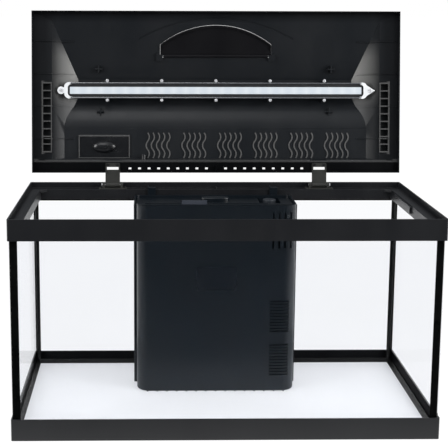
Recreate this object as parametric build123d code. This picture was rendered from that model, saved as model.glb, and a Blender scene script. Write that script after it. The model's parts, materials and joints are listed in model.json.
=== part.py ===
from build123d import *
import math
import os

# Glass aquarium tank with a hinged hood (LED lamp, feeding door) and a filter that hangs inside.
# Millimetres. X is to the right, Y to the back, Z up; the origin is the centre of the bottom
# frame's underside. The hood is modelled closed, then swung open about its hinge pins.

# ---- tank ----
TANK_W = 616.0
TANK_D = 305.0
TANK_H = 324.0
FRAME_WALL = 2.5
TOP_BAND = 31.0
BOTTOM_BAND = 32.0
GLASS = 5.0
FLOOR_GLASS = 6.0
FLOOR_Z = 8.0
GLASS_FOOT_Z = 3.0
SEAM = 1.0
BEAD = 6.0
LEDGE_DROP = 9.0
LEDGE_INSET = 18.5
LEDGE_THICK = 2.5
SKIRT_Z = 299.0
RIB_INSET = 10.5

LEDGE_Z = TANK_H - LEDGE_DROP
PANE_TOP_Z = LEDGE_Z - LEDGE_THICK
FLOOR_TOP_Z = FLOOR_Z + FLOOR_GLASS
PANE_X = TANK_W / 2 - FRAME_WALL
PANE_Y = TANK_D / 2 - FRAME_WALL

# ---- hood, in its closed place ----
HOOD_W = 607.0
HOOD_L = 266.0
HOOD_WALL = 2.5
HOOD_GAP_Z = 0.2
HOOD_Z = LEDGE_Z + HOOD_GAP_Z
HOOD_REAR_Y = 120.0
SKIRT_H = 8.0
STRIP_L = 18.0
STRIP_H = 9.0
DECK_H = 24.0
RIDGE_H = 38.0
RIDGE_V = (135.0, 155.0)
DECK_V = (20.0, 72.0)
SHOULDER_X = 272.0
SHOULDER_H = 12.0
CHEEK_SLOPE = 0.62
HINGE_X = 171.0
HINGE_Y = 140.0
HINGE_Z = 321.5
OPEN_DEG = 97.5

# ---- feeding door, in the plane of the hood's front slope ----
DOOR_V = 194.5
DOOR_HALF = 92.6
DOOR_SIDE = -19.2
DOOR_TIP = -52.0
DOOR_GAP = 0.8
DOOR_AXIS_Z = -3.0
DOOR_PIN_R = 1.2

# ---- light switch and lamp socket, in the closed hood ----
SWITCH_X = -185.5
SWITCH_Y = HOOD_REAR_Y - 43.0
SWITCH_PLATE = (42.5, 19.3)
SWITCH_HOLE_R = 8.1
INLET_X = -120.0
INLET_Z = HOOD_Z + 15.5

# ---- lamp, in the closed hood ----
LAMP_Y = HOOD_REAR_Y - 136.0
LAMP_HALF = 246.0
LAMP_FACE = 12.2
LENS_HALF = 242.0
LENS_W = 11.8
LAMP_SCREW_X = (-180.0, -90.0, 0.0, 90.0, 180.0)
LAMP_SCREW_OFFSET = 16.0
EAR_X = 256.0
EAR_SCREW_R = 1.4

# ---- filter ----
FILTER_X = -6.0
FILTER_HALF = 128.8
FILTER_BACK_Y = 131.0
FILTER_FRONT_Y = 47.0
COVER_FRONT_Y = 3.0
COVER_HALF = 123.8
COVER_RADIUS = 20.0
FILTER_Z = 15.0
FILTER_TOP_Z = 306.0
COVER_TOP_Z = 313.0
FILTER_WALL = 2.5
DIVIDER_X = FILTER_X + 55.0
SLOT_BACK_Y = 66.0
LID_Z = FILTER_TOP_Z - 7.0
PUMP_X = FILTER_X + 90.0
PUMP_Y = 98.0
OUTLET_Z = 272.0
DIAL_TOP_Z = 305.0
GLAND_X = PUMP_X - 14.0
GLAND_Z = 285.0
GLAND_R = 4.4

# ---- fits ----
RUNNING = 0.05
HINGE_PIN_R = 1.6
SCREW_R = 1.2


def block(x0, x1, y0, y1, z0, z1):
    """A box from one corner to the other."""
    size = (abs(x1 - x0), abs(y1 - y0), abs(z1 - z0))
    return Pos((x0 + x1) / 2, (y0 + y1) / 2, (z0 + z1) / 2) * Box(*size)


def rod_x(x0, x1, y, z, radius):
    """A cylinder along X."""
    return Pos((x0 + x1) / 2, y, z) * Rot(0, 90, 0) * Cylinder(radius, x1 - x0)


def rod_y(x, y0, y1, z, radius):
    """A cylinder along Y."""
    return Pos(x, (y0 + y1) / 2, z) * Rot(90, 0, 0) * Cylinder(radius, y1 - y0)


def rod_z(x, y, z0, z1, radius):
    """A cylinder along Z."""
    return Pos(x, y, (z0 + z1) / 2) * Cylinder(radius, z1 - z0)


def ring(inset0, inset1, z0, z1):
    """A rectangular ring between two insets from the tank's outline."""
    outer = block(-TANK_W / 2 + inset0, TANK_W / 2 - inset0,
                  -TANK_D / 2 + inset0, TANK_D / 2 - inset0, z0, z1)
    inner = block(-TANK_W / 2 + inset1, TANK_W / 2 - inset1,
                  -TANK_D / 2 + inset1, TANK_D / 2 - inset1, z0 - 1, z1 + 1)
    return outer - inner


def slab(face, z0, z1):
    """A flat shape drawn in XY, made solid between two heights."""
    return Pos(0, 0, z0) * extrude(face, amount=z1 - z0)


def export(name, shape):
    """Writes one node; a group of loose solids is written as a compound."""
    solids = list(shape.solids())
    whole = solids[0] if len(solids) == 1 else Compound(children=solids)
    export_step(whole, f"parts/{name}.step")


# ---------------------------------------------------------------- tank


def panes():
    """The four wall panes, butted at the corners, and the floor pane."""
    side_y = PANE_Y - GLASS - SEAM
    floor_x = PANE_X - GLASS - SEAM
    z = (GLASS_FOOT_Z, PANE_TOP_Z)
    return {
        "front_glass": block(-PANE_X, PANE_X, -PANE_Y, -PANE_Y + GLASS, *z),
        "rear_glass": block(-PANE_X, PANE_X, PANE_Y - GLASS, PANE_Y, *z),
        "left_glass": block(-PANE_X, -PANE_X + GLASS, -side_y, side_y, *z),
        "right_glass": block(PANE_X - GLASS, PANE_X, -side_y, side_y, *z),
        "bottom_glass": block(-floor_x, floor_x, -side_y, side_y, FLOOR_Z, FLOOR_TOP_Z),
    }


def corner_seam(sx, sy):
    """One upright silicone joint: the glue line between two panes and its hollow bead."""
    x_out, x_in = PANE_X, PANE_X - GLASS
    y_in = PANE_Y - GLASS
    corner = (x_in - BEAD, y_in)
    outline = Polyline(
        (x_in, y_in - BEAD), (x_in, y_in - SEAM), (x_out, y_in - SEAM), (x_out, y_in), corner
    )
    hollow = ThreePointArc(corner, (x_in - BEAD * 0.36, y_in - BEAD * 0.36), (x_in, y_in - BEAD))
    seam = slab(make_face(outline + hollow), FLOOR_TOP_Z, PANE_TOP_Z)
    if sx < 0:
        seam = mirror(seam, about=Plane.YZ)
    if sy < 0:
        seam = mirror(seam, about=Plane.XZ)
    return seam


def floor_seam(corners):
    """The silicone round the floor pane: a glue line at its edge and a bead on top."""
    inset = TANK_W / 2 - PANE_X + GLASS
    line = ring(inset, inset + SEAM, FLOOR_Z, FLOOR_TOP_Z)
    bead = ring(inset, inset + BEAD, FLOOR_TOP_Z, FLOOR_TOP_Z + BEAD)
    edges = bead.edges().filter_by(Axis.Z, reverse=True).group_by(Axis.Z)[-1]
    longest = edges.sort_by(Edge.length)
    inner = [e for e in longest if abs(e.center().X) < PANE_X - GLASS - 1
             and abs(e.center().Y) < PANE_Y - GLASS - 1]
    bead = chamfer(inner, BEAD - 0.6)
    return line + bead - corners


def bottom_frame():
    """A U-section ring: outer band, flange under the panes and the rib that carries the floor."""
    band = ring(0, FRAME_WALL, 0, BOTTOM_BAND)
    band = fillet(band.edges().filter_by(Axis.Z).filter_by(
        lambda e: abs(e.center().X) > TANK_W / 2 - 1), 2.4)
    flange = ring(FRAME_WALL - 0.5, RIB_INSET, 0, GLASS_FOOT_Z)
    rib = ring(RIB_INSET - 2.5, RIB_INSET, GLASS_FOOT_Z - 0.5, FLOOR_Z)
    return band + flange + rib


def top_frame():
    """A ring over the panes: outer band, recessed ledge for the hood and an inner skirt."""
    band = ring(0, FRAME_WALL, TANK_H - TOP_BAND, TANK_H)
    band = fillet(band.edges().filter_by(Axis.Z).filter_by(
        lambda e: abs(e.center().X) > TANK_W / 2 - 1), 2.4)
    ledge = ring(FRAME_WALL - 0.5, LEDGE_INSET, PANE_TOP_Z, LEDGE_Z)
    skirt = ring(LEDGE_INSET - 2, LEDGE_INSET, SKIRT_Z, PANE_TOP_Z + 0.5)
    frame = band + ledge + skirt
    reach = 12.0
    for sx in (-1, 1):
        for sy in (-1, 1):
            x = sx * (TANK_W / 2 - LEDGE_INSET + 1)
            y = sy * (TANK_D / 2 - LEDGE_INSET + 1)
            gusset = make_face(Polyline((x, y), (x - sx * reach, y), (x, y - sy * reach), (x, y)))
            frame += slab(gusset, PANE_TOP_Z - 2, LEDGE_Z)
    clip_x = TANK_W / 2 - LEDGE_INSET
    clip = block(clip_x - 3, clip_x + 0.5, -12, 96, SKIRT_Z + 3, LEDGE_Z - 1)
    mark = block(-0.8, 0.8, TANK_D / 2 - LEDGE_INSET, TANK_D / 2 - 4, LEDGE_Z - 0.5, LEDGE_Z + 3)
    return frame + fillet(clip.edges().filter_by(Axis.X), 3) + mark


# ---------------------------------------------------------------- hinges


def hinge_base(side):
    """The plate on the rear ledge with two knuckles, one at each end of the leaf."""
    x = side * HINGE_X
    plate = block(x - 23, x + 23, TANK_D / 2 - LEDGE_INSET + 0.3, 148.5, LEDGE_Z, LEDGE_Z + 2)
    plate = fillet(plate.edges().filter_by(Axis.Z), 2.5)
    for end in (-1, 1):
        knuckle = rod_x(x + end * 14.8 - 2.2, x + end * 14.8 + 2.2, HINGE_Y, HINGE_Z, 4)
        foot = block(x + end * 14.8 - 2.2, x + end * 14.8 + 2.2, HINGE_Y - 4, HINGE_Y + 4,
                     LEDGE_Z + 1, HINGE_Z)
        plate += knuckle + foot
        plate -= rod_z(x + end * 19.8, HINGE_Y + 2, LEDGE_Z - 1, LEDGE_Z + 3, SCREW_R)
    return plate - rod_x(x - 20, x + 20, HINGE_Y, HINGE_Z, HINGE_PIN_R)


def hinge_pin(side):
    """The steel pin through the knuckles, with a flat head at its outer end."""
    x = side * HINGE_X
    head = rod_x(x + side * 17.6 - 0.6, x + side * 17.6 + 0.6, HINGE_Y, HINGE_Z, 2.8)
    return rod_x(x - 17, x + 17, HINGE_Y, HINGE_Z, HINGE_PIN_R) + head


def hinge_base_screws():
    """Four small pan-head screws that hold the hinge plates to the ledge."""
    screws = []
    for side in (-1, 1):
        for end in (-1, 1):
            x = side * HINGE_X + end * 19.8
            y = HINGE_Y + 2
            head = rod_z(x, y, LEDGE_Z + 2, LEDGE_Z + 3.2, 2.2)
            screws.append(head + rod_z(x, y, LEDGE_Z, LEDGE_Z + 2.2, SCREW_R))
    return Compound(children=screws)


def hinge_leaf(side):
    """The leaf on the hood: a knuckle on the pin, an arm, and a plate under the rear strip."""
    x = side * HINGE_X
    half = 12.0
    under = HOOD_Z + STRIP_H - HOOD_WALL
    barrel = rod_x(x - half, x + half, HINGE_Y, HINGE_Z, 3.8)
    arm = block(x - half, x + half, HOOD_REAR_Y - 16, HINGE_Y, under - 2.2, under)
    arm = fillet(arm.edges().filter_by(Axis.Z).group_by(Axis.Y)[0], 2)
    window = hinge_window(side)
    leaf = barrel + arm - window - rod_x(x - 20, x + 20, HINGE_Y, HINGE_Z, HINGE_PIN_R + RUNNING)
    for end in (-1, 1):
        leaf -= rod_z(x + end * 8, HOOD_REAR_Y - 13, under - 4, under + 1, 1.1)
    return leaf


def hinge_window(side):
    """The slot over each leaf, through the leaf and the hood's rear strip."""
    x = side * HINGE_X
    y = HOOD_REAR_Y - 7.1
    return block(x - 9.6, x + 9.6, y - 2.2, y + 2.2, HOOD_Z, HOOD_Z + STRIP_H + 1)


def hinge_notch(side):
    """The gap in the hood's rear wall that the leaf's arm passes through."""
    x = side * HINGE_X
    top = HOOD_Z + STRIP_H - HOOD_WALL
    return block(x - 12.5, x + 12.5, HOOD_REAR_Y - 3.5, HOOD_REAR_Y + 1, HOOD_Z - 1, top)


def leaf_screws():
    """Four screws that hold the leaves to the rear strip."""
    under = HOOD_Z + STRIP_H - HOOD_WALL
    screws = []
    for side in (-1, 1):
        for end in (-1, 1):
            x = side * HINGE_X + end * 8
            y = HOOD_REAR_Y - 13
            head = rod_z(x, y, under - 3.4, under - 2.2, 2.1)
            screws.append(head + rod_z(x, y, under - 2.4, under, 1.1))
    return Compound(children=screws)


# ---------------------------------------------------------------- hood shell


def hood_place(v, w):
    """Y and Z of a point of the closed hood: v forward of its rear edge, w above its rim."""
    return (HOOD_REAR_Y - v, HOOD_Z + w)


def hood_profile():
    """The hood's outline in the YZ plane: rear strip, deck, ridge and sloping front."""
    low = [(DECK_V[1], DECK_H), (DECK_V[0] + 1.5, DECK_H), (STRIP_L, STRIP_H), (0, STRIP_H), (0, 0),
           (HOOD_L, 0), (HOOD_L, SKIRT_H), (RIDGE_V[1], RIDGE_H), (RIDGE_V[0], RIDGE_H)]
    run, drop = RIDGE_V[0] - DECK_V[1], RIDGE_H - DECK_H
    radius = (run**2 + drop**2) / (4 * drop)
    half_turn = math.asin(run / 2 / radius) / 2
    along, down = radius * math.sin(half_turn), radius * (1 - math.cos(half_turn))
    middle = ((RIDGE_V[0] + DECK_V[1]) / 2, (RIDGE_H + DECK_H) / 2)
    crown = [(RIDGE_V[0], RIDGE_H), (RIDGE_V[0] - along, RIDGE_H - down), middle]
    sag = [middle, (DECK_V[1] + along, DECK_H + down), (DECK_V[1], DECK_H)]
    outline = Polyline(*[hood_place(*p) for p in low])
    outline += ThreePointArc(*[hood_place(*p) for p in crown])
    return make_face(outline + ThreePointArc(*[hood_place(*p) for p in sag]))


def hood_section():
    """The hood's outline in the XZ plane: skirt, side shoulder and sloping cheek."""
    rise = 60.0
    top_x = SHOULDER_X - (rise - SHOULDER_H) / CHEEK_SLOPE
    half = [(HOOD_W / 2, 0), (HOOD_W / 2, SKIRT_H), (SHOULDER_X, SHOULDER_H), (top_x, rise)]
    points = half + [(-x, z) for x, z in reversed(half)]
    return make_face(Polyline(*[(x, HOOD_Z + z) for x, z in points], close=True))


def hood_form(inset):
    """The hood's outer form, or with an inset the hollow under a wall of that thickness."""
    profile = hood_profile()
    section = hood_section()
    if inset:
        profile = offset(profile, amount=-inset, kind=Kind.INTERSECTION)
        section = offset(section, amount=-inset, kind=Kind.INTERSECTION)
    along = extrude(Plane.YZ * profile, amount=HOOD_W, both=True)
    across = extrude(Plane.XZ * section, amount=HOOD_L * 2, both=True)
    form = along & across
    if inset:
        half = HOOD_W / 2 - inset
        form += block(-half, half, HOOD_REAR_Y - HOOD_L + inset, HOOD_REAR_Y - inset,
                      HOOD_Z - 1, HOOD_Z + inset + 1)
    return form


def side_vents():
    """Nine square pockets a side, sunk from below into a raised louvre block on each shoulder.

    A thin lattice between the pockets stands proud of the shoulder's inside.
    """
    blocks = Part()
    pockets = Part()
    pitch = 12.6
    for side in (-1, 1):
        x = side * 279.3
        y0, y1 = HOOD_REAR_Y - 150.5, HOOD_REAR_Y - 33
        blocks += fillet(block(x - 9.5, x + 9.5, y0, y1, HOOD_Z + 9, HOOD_Z + 16).edges(), 1.5)
        lattice_y0, lattice_y1 = HOOD_REAR_Y - 41 - 8.6 * pitch, HOOD_REAR_Y - 41 + 0.6 * pitch
        blocks += block(x - 8, x + 8, lattice_y0, lattice_y1, HOOD_Z + 6.8, HOOD_Z + 12)
        for i in range(9):
            y = HOOD_REAR_Y - 41 - i * pitch
            pockets += block(x - 6.4, x + 6.4, y - 5.3, y + 5.3, HOOD_Z + 5, HOOD_Z + 14.8)
    return blocks, pockets


def wave_line(x, y):
    """One upright wave of three tangent arcs, about 42 mm long."""
    step = 14.0
    sway = 2.6
    line = ThreePointArc((x, y), (x + sway, y - step / 2), (x, y - step))
    line += ThreePointArc((x, y - step), (x - sway, y - 1.5 * step), (x, y - 2 * step))
    return line + ThreePointArc((x, y - 2 * step), (x + sway, y - 2.5 * step), (x, y - 3 * step))


def wave_ribs():
    """Six groups of five low wavy ribs on the underside of the rear deck."""
    faces = Sketch()
    for group in range(6):
        for i in range(5):
            x = -96 + group * 59.6 + (i - 2) * 8.6
            faces += trace(wave_line(x, HOOD_REAR_Y - 24), 2.2)
    under = HOOD_Z + DECK_H - HOOD_WALL
    return slab(faces, under - 1.3, under + 0.5)


def strip_bead():
    """A fine bead along the inner edge of the rear strip, broken at the hinges."""
    bead = Part()
    for x0, x1 in ((-283, -186), (-156, 156), (186, 283)):
        bead += rod_x(x0, x1, HOOD_REAR_Y - STRIP_L - 2.3, HOOD_Z + STRIP_H - HOOD_WALL + 0.2, 0.9)
    return bead


def strip_holes():
    """Eighteen drain holes along the rear strip, either side of the middle rib."""
    holes = Part()
    for i in range(-9, 10):
        if i:
            x = i * 15.84
            y = HOOD_REAR_Y - 7
            holes += block(x - 2.3, x + 2.3, y - 1.5, y + 1.5, HOOD_Z + 3, HOOD_Z + STRIP_H + 1)
    return holes


def cheek_ribs(hollow):
    """Four thin ribs a side that follow the inside of the sloping cheeks."""
    bars = Part()
    for v in (56.4, 110.0, 163.6, 217.0):
        y = HOOD_REAR_Y - v
        for side in (-1, 1):
            x0, x1 = side * 236, side * 300
            bars += block(min(x0, x1), max(x0, x1), y - 0.7, y + 0.7, HOOD_Z + 2, HOOD_Z + 40)
    return (hollow - hood_form(HOOD_WALL + 2.2)) & bars


def star_boss(x, v):
    """A small four-armed moulding boss under the roof."""
    y = HOOD_REAR_Y - v
    arms = block(x - 6, x + 6, y - 1, y + 1, HOOD_Z + 22, HOOD_Z + 40)
    return arms + block(x - 1, x + 1, y - 6, y + 6, HOOD_Z + 22, HOOD_Z + 40)


def lamp_posts():
    """Ten posts for the lamp's tabs, two long ribs over the lamp and a boss for each ear."""
    posts = Part()
    for x in LAMP_SCREW_X:
        for side in (-1, 1):
            y = LAMP_Y + side * LAMP_SCREW_OFFSET
            posts += rod_z(x, y, HOOD_Z + LAMP_FACE + 2, HOOD_Z + RIDGE_H, 2.8)
    for side in (-1, 1):
        y = LAMP_Y + side * 8
        posts += block(-214, 214, y - 1, y + 1, HOOD_Z + 24, HOOD_Z + RIDGE_H)
        posts += rod_z(side * EAR_X, LAMP_Y, HOOD_Z + LAMP_FACE, HOOD_Z + 26, 3.6)
    return posts


def door_plane():
    """The plane of the front slope, its origin on the outside over the feeding door's axis."""
    run = HOOD_L - RIDGE_V[1]
    fall = RIDGE_H - SKIRT_H
    slant = math.hypot(run, fall)
    y, z = hood_place(DOOR_V, SKIRT_H + (HOOD_L - DOOR_V) * fall / run)
    return Plane(origin=(0, y, z), x_dir=(1, 0, 0), z_dir=(0, -fall / slant, run / slant))


def half_moon(start, gap):
    """The feeding door's outline: straight at its hinge, round at its front."""
    x, side, tip = DOOR_HALF - gap * 0.35, DOOR_SIDE + gap / 2, DOOR_TIP + gap
    outline = Polyline((x, side), (x, start), (-x, start), (-x, side))
    return make_face(outline + ThreePointArc((-x, side), (0, tip), (x, side)))


def in_door_plane(face, z0, z1):
    """A flat shape on the front slope, made solid between two depths."""
    return door_plane() * slab(face, z0, z1)


def door_opening():
    """The hole in the front slope that the feeding door fills."""
    return in_door_plane(half_moon(3.1, 0), -HOOD_WALL - 0.6, 6)


def door_bosses():
    """Two bosses that hold the ends of the door's pin, each with a web under the door's corner."""
    bosses = Part()
    for side in (-1, 1):
        bosses += block(side * 96 - 3.2, side * 96 + 3.2, -4, 8, -6, -1.5)
        bosses += block(side * 88.2, side * 94, -2.6, 8, -6, -3.2)
    return door_plane() * bosses


def door_groove():
    """A shallow arc moulded round the door's front."""
    arc = ThreePointArc((-128, -28.8), (0, -63.5), (128, -28.8))
    return in_door_plane(trace(arc, 3.0), -HOOD_WALL - 1, -HOOD_WALL + 1.2)


def hood_shell():
    """The moulded hood, with everything that is one piece with it."""
    hollow = hood_form(HOOD_WALL)
    blocks, pockets = side_vents()
    shell = hood_form(0) - hollow + blocks - pockets
    stars = Part()
    for x, v in ((-195, 172), (193, 172), (-192, 101.7), (190, 101.7)):
        stars += star_boss(x, v)
    middle_rib = block(-0.8, 0.8, HOOD_REAR_Y - 12, HOOD_REAR_Y - 1, HOOD_Z + 0.5, HOOD_Z + 7.5)
    under_roof = hood_form(HOOD_WALL - 0.5)
    for added in (lamp_posts() & under_roof, stars & under_roof, cheek_ribs(hollow), middle_rib,
                  door_bosses(), wave_ribs(), strip_bead() & under_roof):
        shell += added
    for cut in (door_opening(), door_groove(), strip_holes(), door_pin(0)):
        shell -= cut
    shell -= rod_z(SWITCH_X, SWITCH_Y, HOOD_Z + 15, HOOD_Z + 30, SWITCH_HOLE_R)
    step_y = HOOD_REAR_Y - STRIP_L
    shell -= rod_y(INLET_X, step_y - 6, step_y + 2, INLET_Z, 4)
    for x in LAMP_SCREW_X:
        for side in (-1, 1):
            y = LAMP_Y + side * LAMP_SCREW_OFFSET
            shell -= rod_z(x, y, HOOD_Z + LAMP_FACE, HOOD_Z + LAMP_FACE + 9, SCREW_R)
    for side in (-1, 1):
        shell -= rod_z(side * EAR_X, LAMP_Y, HOOD_Z + LAMP_FACE - 4, HOOD_Z + LAMP_FACE + 6, EAR_SCREW_R)
        shell -= hinge_window(side)
        shell -= hinge_notch(side)
    return shell


def feeding_door():
    """The half-moon flap with its barrel, and a stiffening rib round its front on the inside."""
    plate = slab(half_moon(-1, DOOR_GAP), -HOOD_WALL, 0)
    rib = half_moon(-6, DOOR_GAP + 1.6) - half_moon(-6, DOOR_GAP + 3.4)
    rib -= Pos(0, -6) * Rectangle(2 * DOOR_HALF, 8)
    barrel = rod_x(-87.5, 87.5, 0, DOOR_AXIS_Z, 2.8)
    door = plate + slab(rib, -HOOD_WALL - 3, -HOOD_WALL) + barrel
    return door_plane() * door - door_pin(RUNNING)


def door_pin(gap):
    """The feeding door's steel pin, or its bore."""
    return door_plane() * rod_x(-97, 97, 0, DOOR_AXIS_Z, DOOR_PIN_R + gap)


# ---------------------------------------------------------------- light switch and power inlet


def switch_block(half_x, half_y, z0, z1):
    """A box centred on the switch."""
    return block(SWITCH_X - half_x, SWITCH_X + half_x, SWITCH_Y - half_y, SWITCH_Y + half_y, z0, z1)


def switch_cover():
    """The plate under the deck with an oval dome over the back of the switch."""
    top = HOOD_Z + DECK_H - HOOD_WALL
    plate = switch_block(*SWITCH_PLATE, top - 2.4, top)
    frame = plate - switch_block(SWITCH_PLATE[0] - 1.6, SWITCH_PLATE[1] - 1.6, top - 3, top - 1)
    centre = Pos(SWITCH_X, SWITCH_Y, top - 1.2)
    dome = centre * scale(Sphere(1), by=(19.6, 10.3, 7.5)) & switch_block(50, 30, top - 20, top)
    hollow = centre * scale(Sphere(1), by=(18.1, 8.9, 6.0))
    return frame + dome - hollow - switch_block(12.5, 8.3, top - 1.6, top + 1)


def switch_body():
    """The push switch in the dome, hung from the deck on two legs."""
    top = HOOD_Z + DECK_H - HOOD_WALL
    body = switch_block(7, 3.6, top - 5.9, top - 3.6) + switch_block(10.8, 3, top - 5, top - 3.8)
    for side in (-1, 1):
        x = SWITCH_X + side * 9.8
        body += block(x - 1, x + 1, SWITCH_Y - 3, SWITCH_Y + 3, top - 4, top)
    return body


def switch_button():
    """The round push button; its cap stands above the deck and moves 2 mm."""
    base = HOOD_Z + DECK_H - HOOD_WALL - 1.2
    cap = rod_z(SWITCH_X, SWITCH_Y, base, HOOD_Z + DECK_H + 3, 7.7)
    return fillet(cap.edges().group_by(Axis.Z)[-1], 1.2)


def power_inlet():
    """The lamp's low-voltage socket in the step behind the deck."""
    y = HOOD_REAR_Y - STRIP_L
    socket = rod_y(INLET_X, y - 11.5, y - 0.2, INLET_Z, 3.9)
    socket -= rod_y(INLET_X, y - 8.5, y + 1, INLET_Z, 2.6)
    return socket + rod_y(INLET_X, y - 9.5, y - 1, INLET_Z, 0.9)


# ---------------------------------------------------------------- lamp


def bar(half_x, half_y, w0, w1, corner=0.0):
    """A long plate centred on the lamp, between two heights above the hood's rim."""
    size = (2 * half_x, 2 * half_y)
    face = RectangleRounded(*size, corner) if corner else Rectangle(*size)
    return slab(Pos(0, LAMP_Y) * face, HOOD_Z + w0, HOOD_Z + w1)


def lamp_housing():
    """A black tray, open downwards, with rails for the board and ten screw tabs."""
    seat = LAMP_FACE + 1.6
    tray = bar(LAMP_HALF, 12, seat, 24, 5) - bar(LAMP_HALF - 1.5, 10.5, seat - 1, 22.5, 3.5)
    for side in (-1, 1):
        y = LAMP_Y + side * 4.5
        tray += block(-236, 236, y - 0.8, y + 0.8, HOOD_Z + 18.6, HOOD_Z + 23)
        for x in LAMP_SCREW_X:
            y = LAMP_Y + side * LAMP_SCREW_OFFSET
            tab = rod_z(x, y, HOOD_Z + LAMP_FACE, HOOD_Z + LAMP_FACE + 2, 3.6)
            y0, y1 = sorted((LAMP_Y + side * 11.2, y))
            tab += block(x - 3.6, x + 3.6, y0, y1, HOOD_Z + LAMP_FACE + 1.6, HOOD_Z + LAMP_FACE + 2)
            tray += tab - rod_z(x, y, HOOD_Z + LAMP_FACE - 1, HOOD_Z + LAMP_FACE + 3, SCREW_R)
    return tray


def lamp_gasket():
    """The black seal between tray, bezel and lens."""
    face = LAMP_FACE
    return bar(LAMP_HALF, 12, face, face + 1.6, 5) - bar(LENS_HALF, LENS_W / 2, face - 1, face + 3)


def lamp_bezel():
    """The bright metal frame round the lens, a long ring with rounded ends."""
    face = LAMP_FACE
    outer = bar(LAMP_HALF + 2, 12.9, face - 1.6, face, 6.5)
    return outer - bar(LAMP_HALF - 0.5, 11.2, face - 3, face + 1, 4.8)


def lamp_lens():
    """The clear strip: a window through the seal and a flange above it."""
    face = LAMP_FACE
    window = bar(LENS_HALF - 0.1, LENS_W / 2 - 0.1, face - 0.6, face + 1.6)
    return window + bar(LENS_HALF + 1.5, LENS_W / 2 + 2, face + 1.6, face + 2.8)


def led_board():
    """The aluminium circuit board that carries the light sources."""
    return bar(236, 7, 17, 18.6)


def led_chips():
    """A row of small light sources under the board."""
    chips = []
    for i in range(24):
        x = (i - 11.5) * 20.0
        chips.append(block(x - 2.5, x + 2.5, LAMP_Y - 2.5, LAMP_Y + 2.5, HOOD_Z + 15.8, HOOD_Z + 17))
    return Compound(children=chips)


def lamp_bracket(side):
    """The bright clip on each end of the bezel: a C round the lens and an ear for a screw."""
    outer = Pos(side * 240, LAMP_Y) * RectangleRounded(22, 27, 8)
    inner = Pos(side * 231, LAMP_Y) * RectangleRounded(28, 19.4, 5)
    trim = Pos(side * 232, LAMP_Y) * Rectangle(13, 40)
    clip = outer - inner - trim
    if side < 0:
        ear = Pos(-EAR_X, LAMP_Y) * Circle(6.2)
        ear += Pos(-251.5, LAMP_Y) * Rectangle(9, 9)
    else:
        base_x = EAR_X - 9
        ear = make_face(Polyline((base_x, LAMP_Y - 11), (EAR_X + 8, LAMP_Y), (base_x, LAMP_Y + 11),
                                 close=True))
    clip += ear
    plate = slab(clip, HOOD_Z + LAMP_FACE - 3, HOOD_Z + LAMP_FACE - 1.6)
    foot = rod_z(side * EAR_X, LAMP_Y, HOOD_Z + LAMP_FACE - 2, HOOD_Z + LAMP_FACE, 3.2)
    return plate + foot - rod_z(side * EAR_X, LAMP_Y, HOOD_Z, HOOD_Z + LAMP_FACE + 1, EAR_SCREW_R)


def lamp_screws():
    """Ten tab screws and the two ear screws, pan heads with a cross."""
    screws = []
    places = []
    for side in (-1, 1):
        places.append((side * EAR_X, LAMP_Y, LAMP_FACE - 3, 3.2, EAR_SCREW_R))
        for x in LAMP_SCREW_X:
            places.append((x, LAMP_Y + side * LAMP_SCREW_OFFSET, LAMP_FACE, 2.5, SCREW_R))
    for x, y, face, head_r, shank_r in places:
        z = HOOD_Z + face
        head = fillet(rod_z(x, y, z - 1.7, z, head_r).edges().group_by(Axis.Z)[0], 0.8)
        cross = block(x - head_r, x + head_r, y - 0.35, y + 0.35, z - 2, z - 1.1)
        cross += block(x - 0.35, x + 0.35, y - head_r, y + head_r, z - 2, z - 1.1)
        screws.append(head - cross + rod_z(x, y, z - 0.2, z + 8, shank_r))
    return Compound(children=screws)


# ---------------------------------------------------------------- filter


def filter_housing():
    """The open-topped box: cartridge slot in front, foam bay and pump bay behind."""
    x0, x1 = FILTER_X - FILTER_HALF, FILTER_X + FILTER_HALF
    wall = FILTER_WALL
    box = block(x0, x1, FILTER_FRONT_Y, FILTER_BACK_Y, FILTER_Z, FILTER_TOP_Z)
    box = fillet(box.edges().filter_by(Axis.Z).group_by(Axis.Y)[-1], 10)
    inner = block(x0 + wall, x1 - wall, FILTER_FRONT_Y + wall, FILTER_BACK_Y - wall,
                  FILTER_Z + wall, FILTER_TOP_Z + 1)
    inner = fillet(inner.edges().filter_by(Axis.Z).group_by(Axis.Y)[-1], 8)
    box -= inner
    box += block(x0 + 1, x1 - 1, SLOT_BACK_Y, SLOT_BACK_Y + 2, FILTER_Z + 1, FILTER_TOP_Z - 7)
    box += block(DIVIDER_X, DIVIDER_X + wall, SLOT_BACK_Y + 1, FILTER_BACK_Y - 1, FILTER_Z + 1,
                 FILTER_TOP_Z - 7)
    box -= block(FILTER_X - 100, FILTER_X + 35, FILTER_FRONT_Y - 1, FILTER_FRONT_Y + 5, 50, 260)
    for column in range(4):
        for row in range(6):
            x = FILTER_X - 88 + column * 34
            z = 56 + row * 36
            box -= block(x, x + 26, SLOT_BACK_Y - 1, SLOT_BACK_Y + 3, z, z + 26)
    box -= block(DIVIDER_X - 1, DIVIDER_X + 4, 80, 120, FILTER_Z + 6, FILTER_Z + 36)
    box -= rod_y(PUMP_X, FILTER_FRONT_Y - 1, SLOT_BACK_Y + 3, OUTLET_Z, 9.2)
    box -= rod_y(GLAND_X, FILTER_BACK_Y - 4, FILTER_BACK_Y + 1, GLAND_Z, GLAND_R)
    return box


def filter_feet():
    """Low ribs under the filter that keep it off the floor pane."""
    ribs = Part()
    for i in range(-7, 8):
        x = FILTER_X + i * 15.3
        ribs += block(x - 1, x + 1, COVER_FRONT_Y + 1.2, FILTER_FRONT_Y - 2, FILTER_Z - 0.8, FILTER_Z + 1)
    return ribs


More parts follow.
